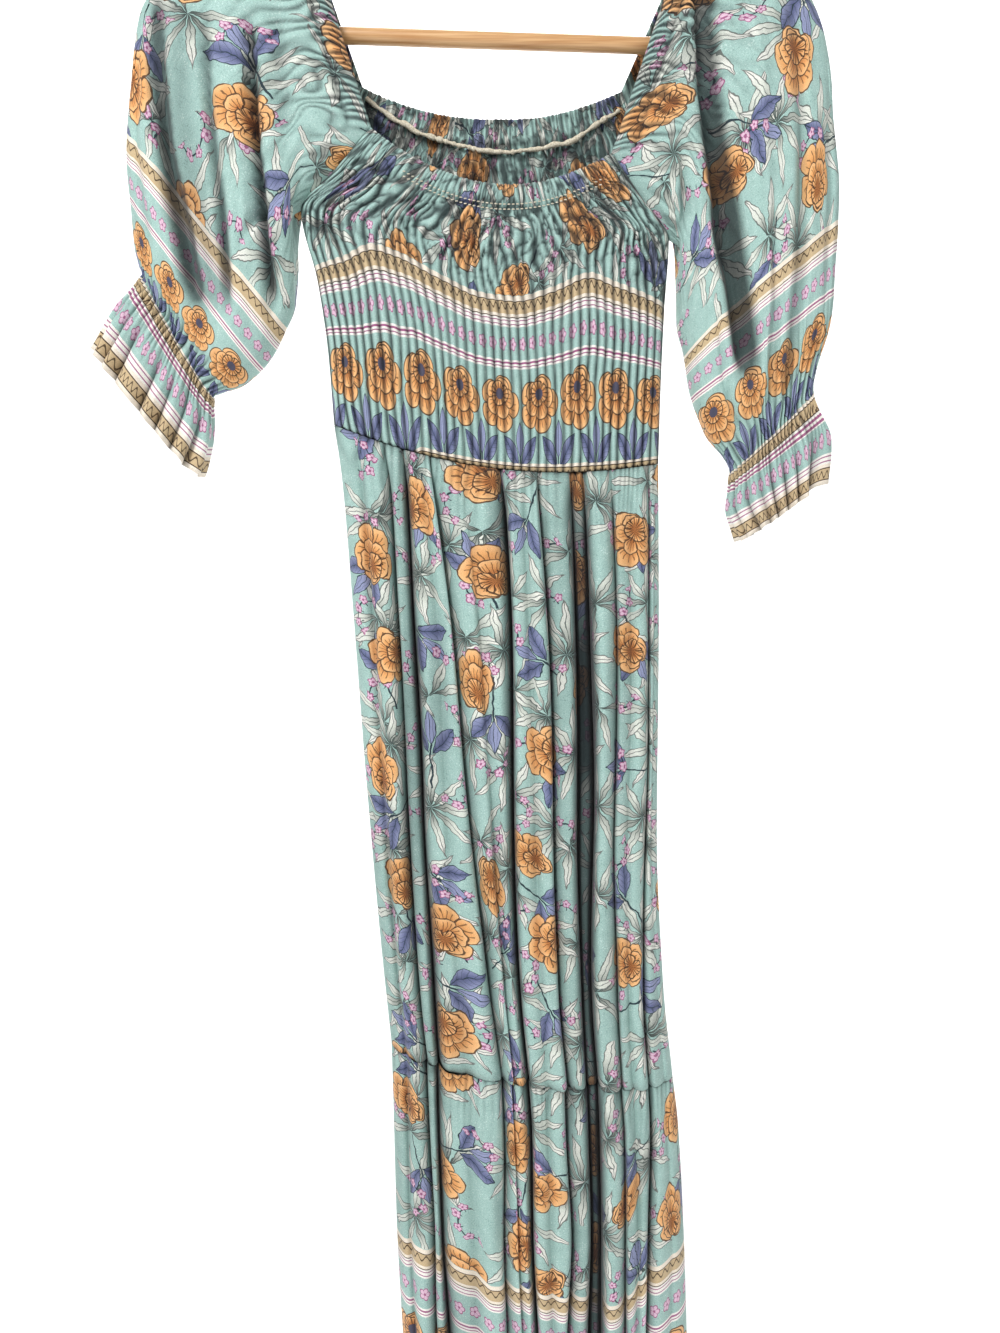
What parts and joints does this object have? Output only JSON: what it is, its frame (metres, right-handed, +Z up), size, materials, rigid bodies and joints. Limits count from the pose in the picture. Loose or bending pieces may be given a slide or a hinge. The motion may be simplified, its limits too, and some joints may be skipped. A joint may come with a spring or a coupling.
{
  "type": "maxi dress on a hanger",
  "caption": "Maxi dress on a wooden hanger: elastic square neckline, shirred bodice, balloon sleeves with flounced cuffs and a tiered gathered skirt; hangs from its hook.",
  "frame": {"origin": "seat of the hanger's hook: the inside top of the wire arc, where it lies on a rail", "axes": "+Z up, +X to the right of someone facing the dress, and the dress's front faces -Y"},
  "size_m": [0.6321, 0.0984, 1.488],
  "materials": {
    "printed_cloth": "soft matt printed viscose with crinkled gathers",
    "hanger_wood": "clear satin lacquer",
    "hook_steel": "polished plated wire"
  },
  "bodies": {
    "root": {"bodice_front": "printed_cloth", "bodice_back": "printed_cloth", "sleeve_left": "printed_cloth", "sleeve_right": "printed_cloth", "skirt_upper_front": "printed_cloth", "skirt_upper_back": "printed_cloth", "skirt_lower_front": "printed_cloth", "skirt_lower_back": "printed_cloth", "hanger_arms": "hanger_wood", "hanger_bar": "hanger_wood", "hanger_hook": "hook_steel"}
  },
  "joints": []
}
